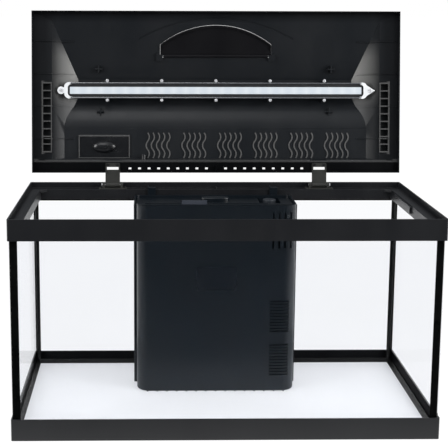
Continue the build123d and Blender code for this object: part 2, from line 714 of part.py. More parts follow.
def filter_cover():
    """The front shell with rounded corners, intake louvres, outlet slots and a label recess."""
    x0, x1 = FILTER_X - COVER_HALF, FILTER_X + COVER_HALF
    wall = 2.2
    shell = block(x0, x1, COVER_FRONT_Y, FILTER_FRONT_Y, FILTER_Z, COVER_TOP_Z)
    shell = fillet(shell.edges().filter_by(Axis.Z).group_by(Axis.Y)[0], COVER_RADIUS)
    shell = fillet(shell.edges().group_by(Axis.Z)[0].filter_by(
        lambda e: e.center().Y < FILTER_FRONT_Y - 1), 3)
    hollow = block(x0 + wall, x1 - wall, COVER_FRONT_Y + wall, FILTER_FRONT_Y + 1,
                   FILTER_Z + wall, COVER_TOP_Z + 1)
    hollow = fillet(hollow.edges().filter_by(Axis.Z).group_by(Axis.Y)[0], COVER_RADIUS - wall)
    shell -= hollow
    louvre_x = (FILTER_X + 83.5, FILTER_X + 113.5)
    for base in (41.3, 112.0):
        for i in range(11):
            z = base + i * 4.8
            shell -= block(*louvre_x, COVER_FRONT_Y - 1, COVER_FRONT_Y + 8, z, z + 2.2)
    for i in range(4):
        x = FILTER_X + 85.5 + i * 9.2
        shell -= block(x, x + 2.8, COVER_FRONT_Y - 1, COVER_FRONT_Y + 9, 245, 302)
    recess = label_plate_block(31.5, 19.2, 0.9)
    return shell - recess + filter_feet()


def label_plate_block(half_x, half_z, depth):
    """The block that the label plate fills, from the cover's face inwards."""
    z = 197.4
    face = block(FILTER_X - half_x, FILTER_X + half_x, COVER_FRONT_Y, COVER_FRONT_Y + depth,
                 z - half_z, z + half_z)
    return fillet(face.edges().filter_by(Axis.Y), 4)


def label_plate():
    """A blank name plate with a raised border and three plain ribs."""
    plate = label_plate_block(31.3, 19.0, 0.9)
    plate -= block(FILTER_X - 28, FILTER_X + 28, COVER_FRONT_Y - 1, COVER_FRONT_Y + 0.4, 181.5, 213.3)
    for z in (187.0, 192.5, 198.0):
        plate += block(FILTER_X - 24, FILTER_X + 24, COVER_FRONT_Y + 0.1, COVER_FRONT_Y + 0.6, z, z + 1.2)
    return plate


def filter_lid():
    """The lid over the foam and pump bays, resting on the partitions, notched round the dial."""
    x0, x1 = FILTER_X - FILTER_HALF + 3.2, FILTER_X + FILTER_HALF - 3.2
    lid = block(x0, x1, SLOT_BACK_Y + 0.4, FILTER_BACK_Y - 3.2, LID_Z + 0.1, LID_Z + 3)
    lid = fillet(lid.edges().filter_by(Axis.Z).group_by(Axis.Y)[-1], 8)
    lid += block(x0 + 14, x1 - 40, SLOT_BACK_Y + 8, SLOT_BACK_Y + 10, LID_Z + 2.5, LID_Z + 4.5)
    notch = block(PUMP_X - 17, PUMP_X + 17, PUMP_Y - 19, FILTER_BACK_Y, LID_Z - 1, LID_Z + 6)
    return lid - fillet(notch.edges().filter_by(Axis.Z).group_by(Axis.Y)[0], 4)


def lid_knob():
    """The oval finger grip on the lid."""
    outline = Pos(FILTER_X + 2, 98) * Ellipse(23, 8)
    knob = slab(outline, LID_Z + 3, LID_Z + 10)
    return fillet(knob.edges().group_by(Axis.Z)[-1], 2.5)


def filter_hook(side):
    """A strap on the back wall that reaches over the frame's rear ledge."""
    x = FILTER_X + side * 100.5
    y = FILTER_BACK_Y
    strap = block(x - 6.5, x + 6.5, y, y + 2.2, FILTER_TOP_Z - 40, LEDGE_Z + 3)
    arm = block(x - 6.5, x + 6.5, y, y + 15, LEDGE_Z + 0.1, LEDGE_Z + 3)
    cheek = block(x - 6.5, x - 4.5, y + 1, y + 10, LEDGE_Z + 2, LEDGE_Z + 5)
    return strap + arm + cheek


def cartridge_frame():
    """The rigid grid of the slide-out cartridge with its pull tab."""
    x0, x1 = FILTER_X - 108, FILTER_X + 42
    y0, y1 = FILTER_FRONT_Y + 4, SLOT_BACK_Y - 3
    frame = block(x0, x1, y0, y1, 20, 300) - block(x0 + 4, x1 - 4, y0 - 1, y1 + 1, 24, 296)
    for z in (92.0, 160.0, 228.0):
        frame += block(x0 + 2, x1 - 2, (y0 + y1) / 2 - 0.8, (y0 + y1) / 2 + 0.8, z, z + 4)
    tab = block(FILTER_X - 53, FILTER_X - 13, (y0 + y1) / 2 - 1.2, (y0 + y1) / 2 + 1.2, 299, 311)
    return frame + tab


def cartridge_floss(side):
    """One face of the cartridge's fibre filling, in front of or behind its bars."""
    x0, x1 = FILTER_X - 104, FILTER_X + 38
    middle = (FILTER_FRONT_Y + 4 + SLOT_BACK_Y - 3) / 2
    y0, y1 = (FILTER_FRONT_Y + 4.2, middle - 0.8) if side < 0 else (middle + 0.8, SLOT_BACK_Y - 3.2)
    return block(x0, x1, y0, y1, 24, 296)


def bio_foam():
    """The foam block that fills the bay behind the cartridge."""
    return block(FILTER_X - 118, DIVIDER_X - 3, SLOT_BACK_Y + 4, FILTER_BACK_Y - 6,
                 FILTER_Z + 4, LID_Z - 8)


def pump_body():
    """The pump's motor block at the foot of its bay."""
    body = block(PUMP_X - 24, PUMP_X + 24, PUMP_Y - 22, PUMP_Y + 22, FILTER_Z + 2.5, 62)
    body = fillet(body.edges().filter_by(Axis.Z), 6)
    return body - rod_z(PUMP_X, PUMP_Y, 30, 63, 9.6)


def pump_cap():
    """The round impeller chamber on the motor, with intake slots and the outlet neck."""
    cap = rod_z(PUMP_X, PUMP_Y, 62, 88, 18) - rod_z(PUMP_X, PUMP_Y, 60, 85, 15.5)
    cap += rod_z(PUMP_X, PUMP_Y, 87, 98, 10.5)
    cap -= rod_z(PUMP_X, PUMP_Y, 84, 99, 8)
    for i in range(8):
        turn = Rot(0, 0, i * 45)
        cap -= Pos(PUMP_X, PUMP_Y, 0) * turn * block(12, 20, -2, 2, 68, 80)
    return cap


def impeller():
    """The magnet rotor with four blades on top; it turns on the shaft."""
    rotor = rod_z(PUMP_X, PUMP_Y, 32, 64, 9)
    rotor += rod_z(PUMP_X, PUMP_Y, 63.5, 65.5, 14)
    for i in range(4):
        rotor += Pos(PUMP_X, PUMP_Y, 0) * Rot(0, 0, i * 90) * block(2, 13.5, -0.8, 0.8, 65, 78)
    rotor += rod_z(PUMP_X, PUMP_Y, 65, 79, 3)
    return rotor - rod_z(PUMP_X, PUMP_Y, 30, 80, 1.2 + RUNNING)


def impeller_shaft():
    """The ceramic shaft, fixed at its lower end in the motor block."""
    return rod_z(PUMP_X, PUMP_Y, 30, 83, 1.2)


def outlet_pipe():
    """The riser from the pump and its branch forward to the outlet slots."""
    top = DIAL_TOP_Z - 18
    riser = rod_z(PUMP_X, PUMP_Y, 98, top, 9)
    branch = rod_y(PUMP_X, COVER_FRONT_Y + 6, PUMP_Y, OUTLET_Z, 9)
    bores = rod_z(PUMP_X, PUMP_Y, 97, OUTLET_Z + 7, 7.4)
    bores += rod_y(PUMP_X, COVER_FRONT_Y, PUMP_Y, OUTLET_Z, 7.4)
    return riser + branch - bores - rod_z(PUMP_X, PUMP_Y, OUTLET_Z, top + 1, 3 + RUNNING)


def flow_dial():
    """The knob that turns the flow up and down, reached through the lid."""
    dial = rod_z(PUMP_X, PUMP_Y, DIAL_TOP_Z - 11.6, DIAL_TOP_Z, 10.4)
    dial = fillet(dial.edges().group_by(Axis.Z)[-1], 1)
    dial += rod_z(PUMP_X, PUMP_Y, DIAL_TOP_Z - 22, DIAL_TOP_Z - 11, 3)
    for i in range(16):
        flute = block(9.8, 12, -0.7, 0.7, DIAL_TOP_Z - 9, DIAL_TOP_Z - 2)
        dial -= Pos(PUMP_X, PUMP_Y, 0) * Rot(0, 0, i * 22.5) * flute
    z = DIAL_TOP_Z
    return dial + block(PUMP_X - 1, PUMP_X + 1, PUMP_Y - 9, PUMP_Y - 3, z - 0.5, z + 0.8)


def cord_gland():
    """The rubber gland in the pump bay's back wall, the way out for a supply lead."""
    gland = rod_y(GLAND_X, FILTER_BACK_Y - 6, FILTER_BACK_Y + 0.6, GLAND_Z, GLAND_R)
    return gland - rod_y(GLAND_X, FILTER_BACK_Y - 7, FILTER_BACK_Y + 2, GLAND_Z, 2.2)


def suction_cups():
    """Two soft cups between the filter's back and the rear pane."""
    cups = []
    for side in (-1, 1):
        x = FILTER_X + side * 80
        stem = rod_y(x, FILTER_BACK_Y, FILTER_BACK_Y + 9, 60, 4)
        rim = Pos(x, FILTER_BACK_Y + 10, 60) * Rot(-90, 0, 0) * Cone(6, 14, 6)
        cups.append(stem + rim)
    return Compound(children=cups)


# ---------------------------------------------------------------- assembly


def main():
    os.makedirs("parts", exist_ok=True)
    nodes = dict(panes())
    corners = Part()
    for sx in (-1, 1):
        for sy in (-1, 1):
            corners += corner_seam(sx, sy)
    nodes["silicone_corner_seams"] = corners
    nodes["silicone_floor_seam"] = floor_seam(corners)
    nodes["bottom_frame"] = bottom_frame()
    nodes["top_frame"] = top_frame()
    for side, word in ((-1, "left"), (1, "right")):
        nodes[f"hinge_base_{word}"] = hinge_base(side)
        nodes[f"hinge_pin_{word}"] = hinge_pin(side)
    nodes["hinge_base_screws"] = hinge_base_screws()

    hood = {
        "hood_shell": hood_shell(),
        "feeding_door": feeding_door(),
        "feeding_door_pin": door_pin(0),
        "switch_cover": switch_cover(),
        "switch_body": switch_body(),
        "switch_button": switch_button(),
        "lamp_power_inlet": power_inlet(),
        "lamp_housing": lamp_housing(),
        "lamp_gasket": lamp_gasket(),
        "lamp_bezel": lamp_bezel(),
        "lamp_lens": lamp_lens(),
        "led_board": led_board(),
        "led_chips": led_chips(),
        "lamp_bracket_left": lamp_bracket(-1),
        "lamp_bracket_right": lamp_bracket(1),
        "lamp_screws": lamp_screws(),
        "hinge_leaf_left": hinge_leaf(-1),
        "hinge_leaf_right": hinge_leaf(1),
        "hinge_leaf_screws": leaf_screws(),
    }
    pins = Axis((0, HINGE_Y, HINGE_Z), (1, 0, 0))
    for name, shape in hood.items():
        nodes[name] = shape.rotate(pins, -OPEN_DEG)

    nodes.update({
        "filter_housing": filter_housing(),
        "filter_cover": filter_cover(),
        "filter_label_plate": label_plate(),
        "filter_lid": filter_lid(),
        "filter_lid_knob": lid_knob(),
        "filter_hook_left": filter_hook(-1),
        "filter_hook_right": filter_hook(1),
        "cartridge_frame": cartridge_frame(),
        "cartridge_floss_front": cartridge_floss(-1),
        "cartridge_floss_rear": cartridge_floss(1),
        "bio_foam": bio_foam(),
        "pump_body": pump_body(),
        "pump_cap": pump_cap(),
        "impeller": impeller(),
        "impeller_shaft": impeller_shaft(),
        "outlet_pipe": outlet_pipe(),
        "flow_dial": flow_dial(),
        "pump_cord_gland": cord_gland(),
        "suction_cups": suction_cups(),
    })
    for name, shape in nodes.items():
        export(name, shape)


main()
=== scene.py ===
"""Looks of the aquarium: camera, light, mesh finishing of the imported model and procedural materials.

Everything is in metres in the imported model's frame: X right, Y back, Z up, the tank standing on z = 0.
"""
import json
import math

import bmesh
import bpy
from mathutils import Matrix, Vector, noise


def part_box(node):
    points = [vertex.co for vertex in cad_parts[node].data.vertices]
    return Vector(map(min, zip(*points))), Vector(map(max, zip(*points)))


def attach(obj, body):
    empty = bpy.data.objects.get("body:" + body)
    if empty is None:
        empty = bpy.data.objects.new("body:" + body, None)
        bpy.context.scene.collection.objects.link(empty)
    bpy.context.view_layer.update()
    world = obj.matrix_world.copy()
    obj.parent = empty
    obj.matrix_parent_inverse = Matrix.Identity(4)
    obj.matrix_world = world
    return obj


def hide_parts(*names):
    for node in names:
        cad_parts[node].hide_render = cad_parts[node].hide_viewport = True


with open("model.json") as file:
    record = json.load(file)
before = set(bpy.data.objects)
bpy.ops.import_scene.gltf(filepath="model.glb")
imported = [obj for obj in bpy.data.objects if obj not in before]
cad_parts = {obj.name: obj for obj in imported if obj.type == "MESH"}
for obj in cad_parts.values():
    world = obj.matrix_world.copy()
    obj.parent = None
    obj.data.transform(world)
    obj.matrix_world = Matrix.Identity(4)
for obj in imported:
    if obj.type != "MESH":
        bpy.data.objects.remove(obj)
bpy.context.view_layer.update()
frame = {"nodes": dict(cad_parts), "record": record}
NODES = frame["nodes"]
BODY_OF = {n: b for b, names in frame["record"]["behaviour"]["bodies"].items() for n in names}
SLOT_OF = {p["node"]: p["material_slot"] for p in frame["record"]["subparts"]}
MM = 0.001


# ---------------------------------------------------------------- shader helpers


class Shader:
    """A node material round one Principled shader, with short calls for the usual patterns."""

    def __init__(self, name, color=(0.5, 0.5, 0.5), rough=0.5, **sockets):
        self.mat = bpy.data.materials.new(name)
        self.mat.use_nodes = True
        self.tree = self.mat.node_tree
        self.bsdf = self.tree.nodes["Principled BSDF"]
        self.set("Base Color", (*color, 1.0))
        self.set("Roughness", rough)
        for socket, value in sockets.items():
            self.set(socket.replace("_", " "), value)
        texture = self.tree.nodes.new("ShaderNodeTexCoord")
        self.coords = texture.outputs["Object"]
        self.normal = texture.outputs["Normal"]
        self.relief = None

    def set(self, socket, value):
        """A constant goes straight on the Principled socket."""
        self.bsdf.inputs[socket].default_value = value

    def link(self, output, socket):
        self.tree.links.new(output, self.bsdf.inputs[socket])

    def node(self, kind, inputs=None, **settings):
        """A node with its settings, and inputs given as sockets to link or as constants."""
        made = self.tree.nodes.new(kind)
        for key, value in settings.items():
            setattr(made, key, value)
        for key, value in (inputs or {}).items():
            if isinstance(value, bpy.types.NodeSocket):
                self.tree.links.new(value, made.inputs[key])
            else:
                made.inputs[key].default_value = value
        return made

    def stretched(self, scale, turn=(0, 0, 0)):
        """The piece's own coordinates, in metres, scaled and turned."""
        return self.node("ShaderNodeMapping", {
            "Vector": self.coords, "Scale": scale, "Rotation": turn,
        }).outputs["Vector"]

    def axes(self, vector=None):
        """The X, Y and Z outputs of a vector, or of the piece's own coordinates."""
        return self.node("ShaderNodeSeparateXYZ", {"Vector": vector or self.coords}).outputs

    def noise(self, scale, detail=3.0, rough=0.5, coords=None):
        return self.node("ShaderNodeTexNoise", {
            "Vector": coords or self.coords, "Scale": scale, "Detail": detail, "Roughness": rough,
        }).outputs["Fac"]

    def voronoi(self, scale, feature="F1"):
        return self.node("ShaderNodeTexVoronoi", {
            "Vector": self.coords, "Scale": scale,
        }, feature=feature).outputs["Distance"]

    def ramp(self, fac, low, high, a=0.0, b=1.0):
        """fac between a and b, mapped to low and high and held outside them."""
        return self.node("ShaderNodeMapRange", {
            "Value": fac, "From Min": a, "From Max": b, "To Min": low, "To Max": high,
        }).outputs["Result"]

    def math(self, operation, a, b=0.0):
        return self.node("ShaderNodeMath", {0: a, 1: b}, operation=operation).outputs[0]

    def times(self, first, *others):
        """The product of two or more values."""
        for other in others:
            first = self.math("MULTIPLY", first, other)
        return first

    def between(self, value, low, high, soft=0.0006):
        """1 from low to high, falling to 0 over soft metres beyond each."""
        return self.times(self.ramp(value, 0.0, 1.0, low - soft, low),
                          self.ramp(value, 1.0, 0.0, high, high + soft))

    def mix(self, fac, a, b):
        """Between two colours by fac."""
        made = self.node("ShaderNodeMix", data_type="RGBA")
        for index, value in ((0, fac), (6, a), (7, b)):
            if isinstance(value, bpy.types.NodeSocket):
                self.tree.links.new(value, made.inputs[index])
            elif index:
                made.inputs[index].default_value = (*value, 1.0)
            else:
                made.inputs[index].default_value = value
        return made.outputs[2]

    def bump(self, height, distance, strength=1.0):
        """Adds a bump layer; distance is its depth in metres."""
        inputs = {"Height": height, "Distance": distance, "Strength": strength}
        if self.relief is not None:
            inputs["Normal"] = self.relief
        self.relief = self.node("ShaderNodeBump", inputs).outputs["Normal"]
        self.link(self.relief, "Normal")


# ---------------------------------------------------------------- materials

GRAIN_SCALE = 1800.0


def moulded(name, color, dust, rough, grain=0.00002, waves=0.00002, **sockets):
    """Injection-moulded plastic: cloudy colour, uneven gloss, fine grain and slow surface waves."""
    s = Shader(name, color, rough, **sockets)
    cloud = s.noise(7.0, 4.0, 0.6)
    streaks = s.noise(24.0, 3.0, 0.55, coords=s.stretched((1, 0.3, 0.3)))
    s.link(s.mix(s.ramp(cloud, 0.0, 1.0, 0.35, 0.7), color, dust), "Base Color")
    s.link(s.ramp(streaks, rough - 0.04, rough + 0.06, 0.3, 0.7), "Roughness")
    s.bump(s.noise(11.0, 2.0, 0.5), waves, 0.5)
    s.bump(s.noise(GRAIN_SCALE, 2.0, 0.6), grain, 0.5)
    return s.mat


HOOD_TILT = math.radians(7.5)
HOOD_PLANE = 0.14 * math.cos(HOOD_TILT) - 0.3215 * math.sin(HOOD_TILT) - 0.0063


def hood_plastic():
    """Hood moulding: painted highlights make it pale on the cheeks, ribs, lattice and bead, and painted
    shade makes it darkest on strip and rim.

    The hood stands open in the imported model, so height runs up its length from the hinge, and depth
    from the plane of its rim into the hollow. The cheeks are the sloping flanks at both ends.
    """
    wave_heights, wave_crowns = (0.363, 0.41), (0.0195, 0.0206)
    vent_heights, vent_sides, vent_faces = (0.372, 0.491), (0.2705, 0.288), (0.006, 0.0076)
    bead_heights, bead_crown = (0.3588, 0.3635), (0.0045, 0.0064)

    s = Shader("hood_plastic", (0.004, 0.0045, 0.005), 0.36)
    place = s.axes()
    side = s.math("ABSOLUTE", place["X"])
    height = place["Z"]
    depth = s.math("ADD", s.times(place["Y"], math.cos(HOOD_TILT)),
                   s.times(height, -math.sin(HOOD_TILT)))
    depth = s.math("SUBTRACT", depth, HOOD_PLANE)

    # Painted highlight: faces turned to the sides are coloured paler, most of all the cheeks towards
    # their inner crease, as if lit by the side lights.
    flank = s.ramp(s.math("ABSOLUTE", s.axes(s.normal)["X"]), 0.0, 1.0, 0.2, 0.5)
    cheek_highlight = s.times(flank, s.ramp(side, 1.0, 0.1, 0.236, 0.272), s.between(side, 0.225, 0.284, 0.004),
                    s.ramp(height, 1.0, 0.0, 0.53, 0.562), s.ramp(height, 0.15, 1.0, 0.45, 0.475))
    # Painted highlights: pale lines on the crowns of the wave ribs, on the vent lattice and on the
    # strip's bead, where light would catch them.
    ribs = s.times(s.between(depth, *wave_crowns), s.between(height, *wave_heights),
                   s.ramp(side, 1.0, 0.0, 0.23, 0.235))
    lattice = s.times(s.between(depth, *vent_faces), s.between(side, *vent_sides),
                      s.between(height, *vent_heights))
    bead = s.times(s.between(depth, *bead_crown), s.between(height, *bead_heights))
    painted_highlight = s.math("ADD", s.times(ribs, 0.8), s.times(lattice, 0.6))
    painted_highlight = s.math("ADD", painted_highlight, s.times(bead, 0.4))

    # Painted shade: darker on the rear strip, towards the rim at the top and on the outer shoulders.
    shade = s.times(s.ramp(height, 0.1, 1.0, 0.3585, 0.36), s.ramp(height, 1.0, 0.15, 0.586, 0.604),
                    s.ramp(side, 1.0, 0.45, 0.262, 0.282))
    body = s.mix(s.ramp(s.noise(7.0, 4.0, 0.6), 0.0, 1.0, 0.35, 0.7),
                 (0.0036, 0.005, 0.0068), (0.007, 0.008, 0.0098))
    dark = s.mix(shade, (0.0008, 0.0009, 0.0012), body)
    # The painted highlights go over the painted shade, and the painted cheek highlight over both.
    highlit = s.mix(painted_highlight, dark, (0.082, 0.081, 0.08))
    s.link(s.mix(cheek_highlight, highlit, (0.105, 0.103, 0.097)), "Base Color")

    fade = s.math("MAXIMUM", s.ramp(side, 0.0, 1.0, 0.238, 0.268), s.ramp(height, 0.0, 1.0, 0.5, 0.556))
    dull = s.ramp(s.times(flank, fade), 1.0, 0.12)
    s.link(s.times(s.ramp(shade, 0.08, 0.42), dull), "Specular IOR Level")
    streaks = s.noise(24.0, 3.0, 0.55, coords=s.stretched((1, 0.3, 0.3)))
    s.link(s.ramp(streaks, 0.32, 0.42, 0.3, 0.7), "Roughness")
    s.bump(s.noise(11.0, 2.0, 0.5), 0.0001, 0.5)
    s.bump(s.noise(GRAIN_SCALE, 2.0, 0.6), 0.00001, 0.5)
    return s.mat


def switch_plate():
    """The light switch's cover: glossy, its raised border pale with a painted highlight."""
    s = Shader("cover_plastic", (0.005, 0.0055, 0.0065), 0.24)
    centre_x, centre_z = -0.1855, 0.3814
    place = s.axes()
    across = s.math("ABSOLUTE", s.math("SUBTRACT", place["X"], centre_x))
    along = s.math("ABSOLUTE", s.math("SUBTRACT", place["Z"], centre_z))
    # Painted highlight: the raised border is coloured pale as if it caught the light.
    rim = s.math("MAXIMUM", s.ramp(across, 0.0, 1.0, 0.0404, 0.041),
                 s.ramp(along, 0.0, 1.0, 0.0168, 0.0174))
    body = s.mix(s.noise(30.0, 3.0), (0.004, 0.0045, 0.0055), (0.007, 0.0075, 0.0085))
    s.link(s.mix(rim, body, (0.06, 0.06, 0.06)), "Base Color")
    s.link(s.ramp(s.noise(60.0, 3.0), 0.2, 0.3, 0.3, 0.7), "Roughness")
    s.bump(s.noise(GRAIN_SCALE, 2.0, 0.6), 0.000004, 0.5)
    return s.mat


def tank_glass():
    """Float glass: clear, hardly reflecting, with a faint cool body tint."""
    s = Shader("tank_glass", (0.925, 0.93, 0.945), 0.0, IOR=1.02, Transmission_Weight=1.0)
    smear = s.noise(9.0, 3.0, 0.6)
    s.link(s.mix(smear, (0.918, 0.925, 0.94), (0.932, 0.937, 0.952)), "Base Color")
    return s.mat


def floor_glass():
    """The bottom pane: its underside is finely frosted white, which hides the frame beneath it, and it
    glows faintly with painted light though it is no lamp.
    """
    # The emission is painted light: the pane glows though it is no lamp.
    s = Shader("floor_glass", (0.4, 0.405, 0.415), 0.35, IOR=1.2, Transmission_Weight=0.25,
               Specular_IOR_Level=0.1, Emission_Strength=0.36)
    s.set("Emission Color", (0.94, 0.95, 0.98, 1.0))
    s.link(s.mix(s.noise(9.0, 3.0, 0.6), (0.39, 0.395, 0.405), (0.41, 0.415, 0.425)), "Base Color")
    return s.mat


def silicone():
    s = Shader("black_silicone", (0.002, 0.0023, 0.0022), 0.34, Specular_IOR_Level=0.25)
    s.link(s.ramp(s.noise(120.0, 3.0), 0.26, 0.46, 0.3, 0.7), "Roughness")
    s.bump(s.noise(160.0, 3.0, 0.6), 0.00025, 0.7)
    return s.mat


def steel():
    s = Shader("steel", (0.7, 0.7, 0.72), 0.26, Metallic=0.55)
    s.link(s.mix(s.noise(900.0, 3.0), (0.6, 0.6, 0.62), (0.88, 0.88, 0.9)), "Base Color")
    s.link(s.ramp(s.noise(600.0, 3.0), 0.18, 0.4, 0.3, 0.7), "Roughness")
    s.bump(s.noise(2400.0, 2.0), 0.00002, 0.5)
    return s.mat


def dark_steel():
    """Blackened screws."""
    s = Shader("dark_steel", (0.05, 0.05, 0.052), 0.36, Metallic=1.0)
    s.link(s.mix(s.noise(900.0, 3.0), (0.03, 0.03, 0.032), (0.08, 0.08, 0.084)), "Base Color")
    s.bump(s.noise(2400.0, 2.0), 0.00002, 0.5)
    return s.mat


def bright_trim():
    """Bright plated metal, polished along the lamp's sides and satin round its ends."""
    s = Shader("bright_trim", (0.88, 0.89, 0.9), 0.12, Metallic=0.45)
    lines = s.noise(900.0, 2.0, coords=s.stretched((0.02, 1, 1)))
    s.link(s.ramp(lines, 0.06, 0.2, 0.3, 0.7), "Roughness")
    s.link(s.ramp(s.math("ABSOLUTE", s.axes()["X"]), 0.97, 0.35, 0.239, 0.243), "Metallic")
    s.link(s.mix(s.noise(60.0, 3.0), (0.8, 0.81, 0.83), (0.93, 0.94, 0.95)), "Base Color")
    s.bump(lines, 0.000008, 0.4)
    return s.mat


def lamp_diffuser():
    """Frosted strip, lit from behind: brighter over each light source, cooler between them."""
    s = Shader("lamp_diffuser", (0.36, 0.39, 0.42), 0.3, Specular_IOR_Level=0.5)
    source_pitch = 0.02
    phase = s.math("FRACT", s.math("DIVIDE", s.axes()["X"], source_pitch))
    spot = s.math("ABSOLUTE", s.math("SUBTRACT", phase, 0.5))
    glow = s.ramp(spot, 1.0, 0.0, 0.0, 0.5)
    s.link(s.mix(glow, (0.8, 0.89, 0.98), (0.96, 0.98, 0.97)), "Emission Color")
    s.link(s.ramp(glow, 0.15, 0.19, 0.3, 1.0), "Emission Strength")
    s.bump(s.noise(GRAIN_SCALE, 2.0), 0.00004, 0.6)
    return s.mat


def circuit_board():
    s = Shader("circuit_board", (0.85, 0.87, 0.88), 0.35, Specular_IOR_Level=0.5)
    s.link(s.mix(s.noise(400.0, 2.0), (0.8, 0.82, 0.84), (0.92, 0.93, 0.93)), "Base Color")
    s.bump(s.noise(2200.0, 2.0), 0.00002, 0.5)
    return s.mat


def led_resin():
    s = Shader("led_resin", (0.93, 0.88, 0.55), 0.3, Emission_Strength=3.0)
    s.link(s.mix(s.voronoi(700.0), (1.0, 0.97, 0.88), (0.85, 0.93, 1.0)), "Emission Color")
    return s.mat


def floss():
    """White fibre wadding."""
    s = Shader("floss", (0.82, 0.84, 0.84), 0.95, Sheen_Weight=0.3)
    fibres = s.noise(900.0, 4.0, 0.7, coords=s.stretched((1, 1, 0.25), (0.3, 0.2, 0.5)))
    s.link(s.mix(fibres, (0.68, 0.7, 0.7), (0.93, 0.94, 0.94)), "Base Color")
    s.bump(fibres, 0.0004, 0.8)
    return s.mat


def foam():
    """Open-cell charcoal foam."""
    s = Shader("foam", (0.045, 0.045, 0.05), 0.9)
    cells = s.voronoi(520.0, "SMOOTH_F1")
    s.link(s.mix(cells, (0.008, 0.008, 0.01), (0.09, 0.09, 0.1)), "Base Color")
    s.bump(cells, 0.0012, 1.0)
    return s.mat


def ceramic():
    s = Shader("ceramic_shaft", (0.85, 0.84, 0.8), 0.15, Coat_Weight=0.4)
    s.link(s.mix(s.noise(800.0), (0.78, 0.77, 0.73), (0.9, 0.89, 0.86)), "Base Color")
    return s.mat


def rubber(name, color, gloss):
    s = Shader(name, color, gloss, Specular_IOR_Level=0.4)
    s.link(s.mix(s.noise(70.0, 3.0), color, tuple(c * 1.6 + 0.004 for c in color)), "Base Color")
    s.link(s.ramp(s.noise(200.0, 3.0), gloss - 0.08, gloss + 0.1, 0.3, 0.7), "Roughness")
    s.bump(s.noise(1500.0, 2.0), 0.00003, 0.6)
    return s.mat


MATERIALS = {
    "tank_glass": tank_glass(),
    "floor_glass": floor_glass(),
    "black_silicone": silicone(),
    "frame_plastic": moulded("frame_plastic", (0.0045, 0.005, 0.0064), (0.0068, 0.0072, 0.0088), 0.36),
    "hinge_plastic": moulded("hinge_plastic", (0.014, 0.0145, 0.0125), (0.022, 0.022, 0.019), 0.42),
    "base_plastic": moulded("base_plastic", (0.006, 0.0066, 0.008), (0.0095, 0.0102, 0.0118), 0.36),
    "hood_plastic": hood_plastic(),
    "cover_plastic": switch_plate(),
    "door_plastic": moulded("door_plastic", (0.0018, 0.0017, 0.0026), (0.0032, 0.003, 0.0042), 0.46,
                            Specular_IOR_Level=0.2),
    "steel": steel(),
    "dark_steel": dark_steel(),
    "bright_trim": bright_trim(),
    "lamp_plastic": moulded("lamp_plastic", (0.005, 0.0055, 0.0065), (0.008, 0.0085, 0.01), 0.35),
    "gasket_rubber": rubber("gasket_rubber", (0.004, 0.0045, 0.0055), 0.5),
    "lamp_diffuser": lamp_diffuser(),
    "circuit_board": circuit_board(),
    "led_resin": led_resin(),
    "switch_plastic": moulded("switch_plastic", (0.006, 0.006, 0.007), (0.01, 0.01, 0.011), 0.2,
                              grain=0.000004),
    "button_rubber": rubber("button_rubber", (0.018, 0.018, 0.02), 0.55),
    "filter_plastic": moulded("filter_plastic", (0.0022, 0.0046, 0.0072), (0.0036, 0.0062, 0.0094), 0.33,
                              grain=0.000002, waves=0.00001, Specular_IOR_Level=0.38),
    "label_plastic": moulded("label_plastic", (0.003, 0.005, 0.0078), (0.0045, 0.0068, 0.0096), 0.24,
                             grain=0.000002),
    "cartridge_plastic": moulded("cartridge_plastic", (0.03, 0.036, 0.05), (0.05, 0.056, 0.07), 0.4),
    "floss": floss(),
    "foam": foam(),
    "pump_plastic": moulded("pump_plastic", (0.02, 0.022, 0.026), (0.034, 0.036, 0.04), 0.28),
    "magnet_plastic": moulded("magnet_plastic", (0.1, 0.11, 0.13), (0.15, 0.16, 0.18), 0.3),
    "ceramic_shaft": ceramic(),
    "dial_plastic": moulded("dial_plastic", (0.02, 0.024, 0.03), (0.03, 0.034, 0.04), 0.32),
    "soft_rubber": rubber("soft_rubber", (0.05, 0.054, 0.058), 0.3),
}


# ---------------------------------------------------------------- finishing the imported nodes


WELD = 0.002 * MM
COPLANAR = math.radians(0.4)
SHARP = math.radians(32.0)
LARGE_FACE = 2000 * MM * MM


def finished(node, width):
    """A copy of a CAD node as one welded mesh with rounded edges; it stands for that node.

    Faces larger than LARGE_FACE are shaded flat, so that no long triangle leaves a streak on them.
    """
    bm = bmesh.new()
    bm.from_mesh(NODES[node].data)
    bmesh.ops.remove_doubles(bm, verts=bm.verts, dist=WELD)
    bmesh.ops.dissolve_limit(bm, angle_limit=COPLANAR, use_dissolve_boundaries=False,
                             verts=bm.verts, edges=bm.edges, delimit={"NORMAL"})
    sharp = [e for e in bm.edges if len(e.link_faces) == 2 and e.calc_face_angle(0.0) > SHARP]
    if width:
        bmesh.ops.bevel(bm, geom=sharp, offset=width * MM, offset_type="OFFSET", segments=2,
                        profile=0.5, affect="EDGES", clamp_overlap=True, harden_normals=False)
    for face in bm.faces:
        face.smooth = face.calc_area() < LARGE_FACE
    for edge in bm.edges:
        edge.smooth = len(edge.link_faces) != 2 or edge.calc_face_angle(0.0) < SHARP
    mesh = bpy.data.meshes.new(f"{node}_mesh")
    bm.to_mesh(mesh)
    bm.free()
    return placed(f"{node}_finished", mesh, BODY_OF[node], SLOT_OF[node], node)


def placed(name, mesh, body, slot, *stands_for):
    """An object from a mesh, with its material, riding on a body and standing for CAD nodes."""
    obj = bpy.data.objects.new(name, mesh)
    bpy.context.scene.collection.objects.link(obj)
    mesh.materials.clear()
    mesh.materials.append(MATERIALS[FINISH.get(name, slot)])
    weighted = obj.modifiers.new("even_normals", "WEIGHTED_NORMAL")
    weighted.keep_sharp = True
    weighted.weight = 80
    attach(obj, body)
    obj.visible_shadow = slot != "tank_glass"
    if stands_for:
        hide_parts(*stands_for)
    return obj


